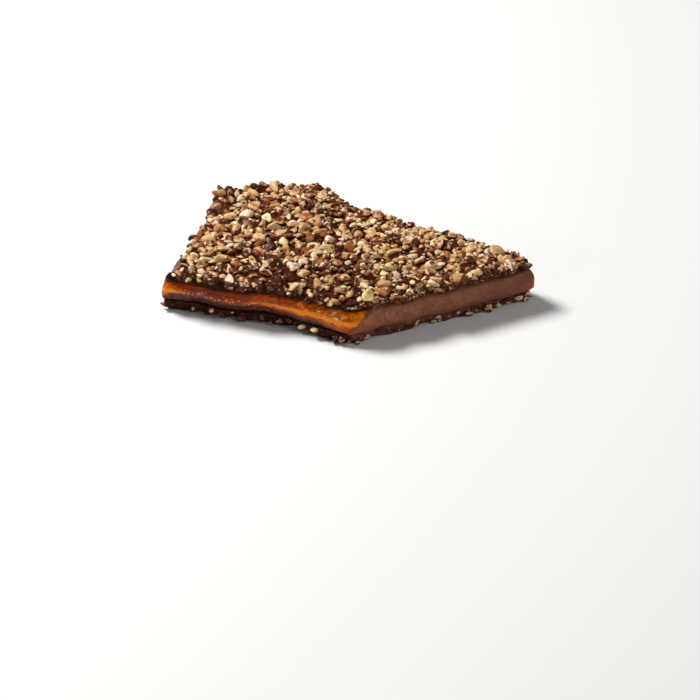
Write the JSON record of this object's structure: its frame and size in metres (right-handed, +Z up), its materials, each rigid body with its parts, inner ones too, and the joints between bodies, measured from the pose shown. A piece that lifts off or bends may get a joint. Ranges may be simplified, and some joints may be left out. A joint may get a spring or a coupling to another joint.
{
  "type": "nut-coated chocolate toffee piece",
  "caption": "Broken piece of dark-chocolate-coated butter toffee covered with chopped roasted nuts, lying flat as a loose sweet.",
  "frame": {"origin": "centre of the piece's bounding box in plan, on the surface it rests on", "axes": "+X along the long way of the piece towards its narrow tip, +Y towards the wide back end, +Z up through the layers"},
  "size_m": [0.0848, 0.0544, 0.0124],
  "materials": {
    "dark_chocolate": "dark chocolate, satin to dull, rough where it broke",
    "toffee": "hard butter toffee, glossy and slightly translucent on one broken side, filmed over with chocolate on the other",
    "roasted_nut": "dark chocolate crowded with chopped roasted nuts, cream to brown, dry and dull"
  },
  "bodies": {
    "root": {"base_coat": "dark_chocolate", "toffee_slab": "toffee", "top_coat": "roasted_nut"}
  },
  "joints": []
}
